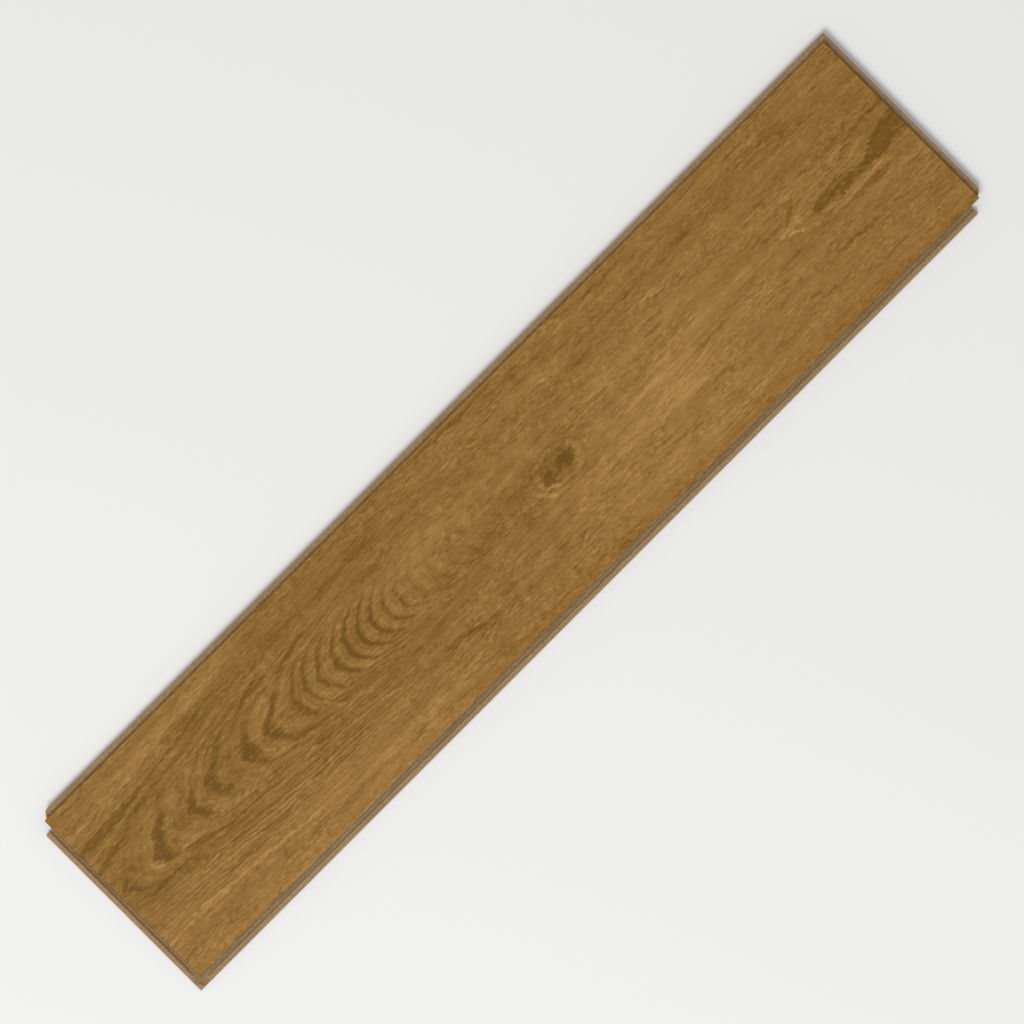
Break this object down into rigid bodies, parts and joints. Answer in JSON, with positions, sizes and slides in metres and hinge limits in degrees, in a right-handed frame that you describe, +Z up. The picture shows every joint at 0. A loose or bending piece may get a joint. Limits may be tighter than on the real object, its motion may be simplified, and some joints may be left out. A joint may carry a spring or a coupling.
{
  "type": "laminate floor plank",
  "caption": "Flat oak-look laminate floor plank with a milled click joint on all sides, for laying in herringbone.",
  "frame": {"origin": "on the underside, below the middle of the walking face", "axes": "+X along the plank, towards the tongue end; +Y across it, towards the tongue side; +Z up, out of the walking face"},
  "size_m": [0.6756, 0.1436, 0.008],
  "materials": {
    "laminate_board": "matt embossed oak decor on brown high-density fibreboard"
  },
  "bodies": {
    "root": {"plank": "laminate_board"}
  },
  "joints": []
}
